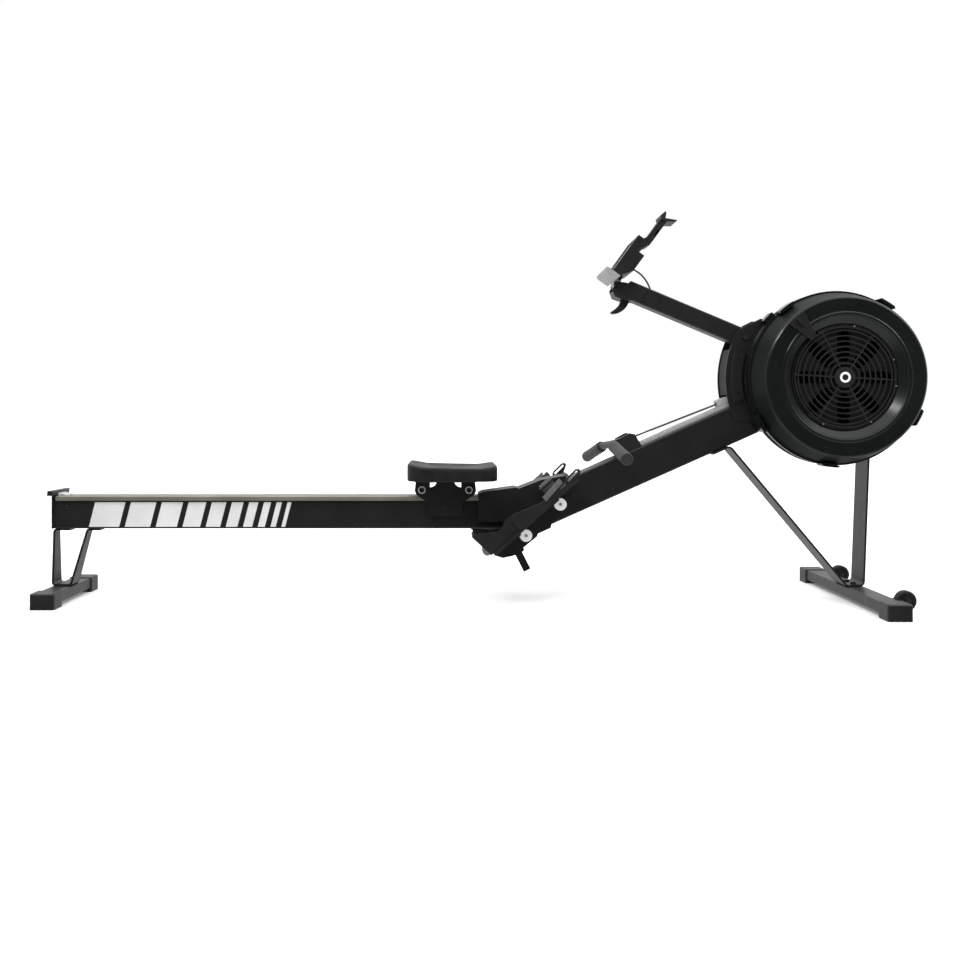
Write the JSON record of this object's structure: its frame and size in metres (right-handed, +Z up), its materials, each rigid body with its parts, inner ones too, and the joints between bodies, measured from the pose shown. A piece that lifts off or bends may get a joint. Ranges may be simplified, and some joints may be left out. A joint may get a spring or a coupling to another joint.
{
  "type": "rowing machine",
  "caption": "Air-resistance rowing machine: sliding seat on a level monorail, foot stretchers, chain-pulled handle, caged fan flywheel and a tilting monitor on an arm.",
  "frame": {"origin": "on the floor under the middle of the machine's bounding box", "axes": "+X along the monorail towards the fan, +Y away from the fan's open grille side, +Z up"},
  "size_m": [2.451, 0.614, 1.1066],
  "materials": {
    "frame_black": "satin powder coat",
    "housing_gloss": "glossy moulding",
    "plastic_black": "fine texture",
    "plastic_grey": "satin",
    "alloy": "satin anodised",
    "track_metal": "brushed champagne",
    "steel": "machined",
    "chain_steel": "dark oiled steel",
    "roller_plastic": "nylon",
    "rubber": "matte",
    "grip_rubber": "soft grip",
    "seat_foam": "moulded foam skin",
    "webbing": "woven polyester",
    "knob_white": "satin",
    "screen": "dark display"
  },
  "bodies": {
    "front_frame": {"main_beam": "frame_black", "beam_channel": "alloy", "rail_socket": "frame_black", "side_plate_near": "frame_black", "side_plate_far": "frame_black", "housing_covers": "plastic_black", "chain_outlet": "plastic_grey", "fan_rear_housing": "housing_gloss", "fan_cover": "housing_gloss", "fan_grille": "plastic_black", "fan_clips": "housing_gloss", "drive_cover": "housing_gloss", "axle_bearings": "steel", "inner_chain": "chain_steel", "shock_cord": "rubber", "front_leg": "frame_black", "front_foot_bar": "frame_black", "front_foot_caps": "plastic_black", "stretcher_bracket": "frame_black", "stretcher_knobs": "knob_white", "footboard_near": "plastic_black", "footboard_far": "plastic_black", "foot_straps": "webbing", "junction_cover": "plastic_black", "handle_cradle": "plastic_black", "frame_bolts": "steel"},
    "monorail": {"rail_beam": "frame_black", "track_cap": "track_metal", "rail_bolts": "steel", "rear_end_plate": "frame_black", "rear_leg": "frame_black", "rear_foot_bar": "frame_black", "rear_foot_caps": "plastic_black"},
    "seat": {"seat_pad": "seat_foam", "seat_carriage": "frame_black", "roller_axles": "steel"},
    "rear_rollers": {"upper_rollers_rear": "roller_plastic"},
    "front_rollers": {"upper_rollers_front": "roller_plastic"},
    "low_rollers": {"lower_rollers": "roller_plastic"},
    "flywheel": {"flywheel": "steel", "flywheel_axle": "steel"},
    "sprocket": {"drive_sprocket": "steel"},
    "cord_pulley": {"return_pulley": "roller_plastic"},
    "damper": {"damper": "housing_gloss"},
    "handle": {"handle_bar": "plastic_black", "handle_grips": "grip_rubber", "chain": "chain_steel"},
    "arm": {"monitor_arm": "frame_black", "arm_bracket": "frame_black"},
    "monitor": {"monitor_case": "plastic_black", "monitor_screen": "screen", "phone_holder": "plastic_black", "sensor_cable": "rubber"},
    "phone_jaw": {"phone_jaw": "plastic_black"},
    "button_near": {"button_near": "plastic_black"},
    "button_far": {"button_far": "plastic_black"},
    "heel_cup_near": {"heel_cup_near": "plastic_black"},
    "heel_cup_far": {"heel_cup_far": "plastic_black"},
    "wheel_near": {"transport_wheel_near": "rubber"},
    "wheel_far": {"transport_wheel_far": "rubber"}
  },
  "joints": [
    {"name": "monorail_slide", "type": "slide", "parent": "front_frame", "child": "monorail", "axis": [-1, 0, 0], "range_m": [0, 0.12]},
    {"name": "seat_slide", "type": "slide", "parent": "monorail", "child": "seat", "axis": [1, 0, 0], "range_m": [-0.96, 0.005]},
    {"name": "rear_roller_spin", "type": "hinge", "parent": "seat", "child": "rear_rollers", "pos_m": [-0.167, 0, 0.3163], "axis": [0, 1, 0], "continuous": true},
    {"name": "front_roller_spin", "type": "hinge", "parent": "seat", "child": "front_rollers", "pos_m": [-0.034, 0, 0.3163], "axis": [0, 1, 0], "continuous": true},
    {"name": "low_roller_spin", "type": "hinge", "parent": "seat", "child": "low_rollers", "pos_m": [-0.101, 0, 0.2652], "axis": [0, 1, 0], "continuous": true},
    {"name": "flywheel_spin", "type": "hinge", "parent": "front_frame", "child": "flywheel", "pos_m": [0.984, 0, 0.63], "axis": [0, 1, 0], "continuous": true},
    {"name": "handle_pull", "type": "slide", "parent": "front_frame", "child": "handle", "axis": [-0.9896, 0, 0.144], "range_m": [0, 1.15], "stiffness_N_per_m": 15, "springref_m": -0.3, "deforming": ["chain"]},
    {"name": "sprocket_spin", "type": "hinge", "parent": "front_frame", "child": "sprocket", "pos_m": [0.984, 0, 0.63], "axis": [0, 1, 0], "continuous": true},
    {"name": "cord_pulley_spin", "type": "hinge", "parent": "front_frame", "child": "cord_pulley", "pos_m": [0.26312, 0, 0.30007], "axis": [0, 1, 0], "continuous": true},
    {"name": "damper_turn", "type": "hinge", "parent": "front_frame", "child": "damper", "pos_m": [0.984, 0, 0.63], "axis": [0, -1, 0], "range_deg": [0, 78]},
    {"name": "arm_fold", "type": "hinge", "parent": "front_frame", "child": "arm", "pos_m": [0.748, 0, 0.7484], "axis": [0, 1, 0], "range_deg": [-8, 25]},
    {"name": "monitor_tilt", "type": "hinge", "parent": "arm", "child": "monitor", "pos_m": [0.388, 0, 0.898], "axis": [0, 1, 0], "range_deg": [-22, 16], "deforming": ["sensor_cable"]},
    {"name": "phone_clamp", "type": "slide", "parent": "monitor", "child": "phone_jaw", "axis": [0.5878, 0, 0.809], "range_m": [0, 0.014], "stiffness_N_per_m": 250},
    {"name": "button_near_press", "type": "slide", "parent": "monitor", "child": "button_near", "axis": [0.809, 0, -0.5878], "range_m": [0, 0.0012], "stiffness_N_per_m": 500},
    {"name": "button_far_press", "type": "slide", "parent": "monitor", "child": "button_far", "axis": [0.809, 0, -0.5878], "range_m": [0, 0.0012], "stiffness_N_per_m": 500},
    {"name": "heel_cup_near_slide", "type": "slide", "parent": "front_frame", "child": "heel_cup_near", "axis": [0.7396, 0, 0.673], "range_m": [0, 0.036]},
    {"name": "heel_cup_far_slide", "type": "slide", "parent": "front_frame", "child": "heel_cup_far", "axis": [0.7396, 0, 0.673], "range_m": [0, 0.036]},
    {"name": "wheel_near_spin", "type": "hinge", "parent": "front_frame", "child": "wheel_near", "pos_m": [1.118, -0.21, 0.036], "axis": [0, 1, 0], "continuous": true},
    {"name": "wheel_far_spin", "type": "hinge", "parent": "front_frame", "child": "wheel_far", "pos_m": [1.118, 0.21, 0.036], "axis": [0, 1, 0], "continuous": true}
  ],
  "couplings": [
    {"joint": "rear_roller_spin", "follows": "seat_slide", "rad_per_m": 55.556},
    {"joint": "front_roller_spin", "follows": "seat_slide", "rad_per_m": 55.556},
    {"joint": "low_roller_spin", "follows": "seat_slide", "rad_per_m": -51.282},
    {"joint": "sprocket_spin", "follows": "handle_pull", "rad_per_m": -45.455},
    {"joint": "cord_pulley_spin", "follows": "handle_pull", "rad_per_m": 35.714}
  ]
}
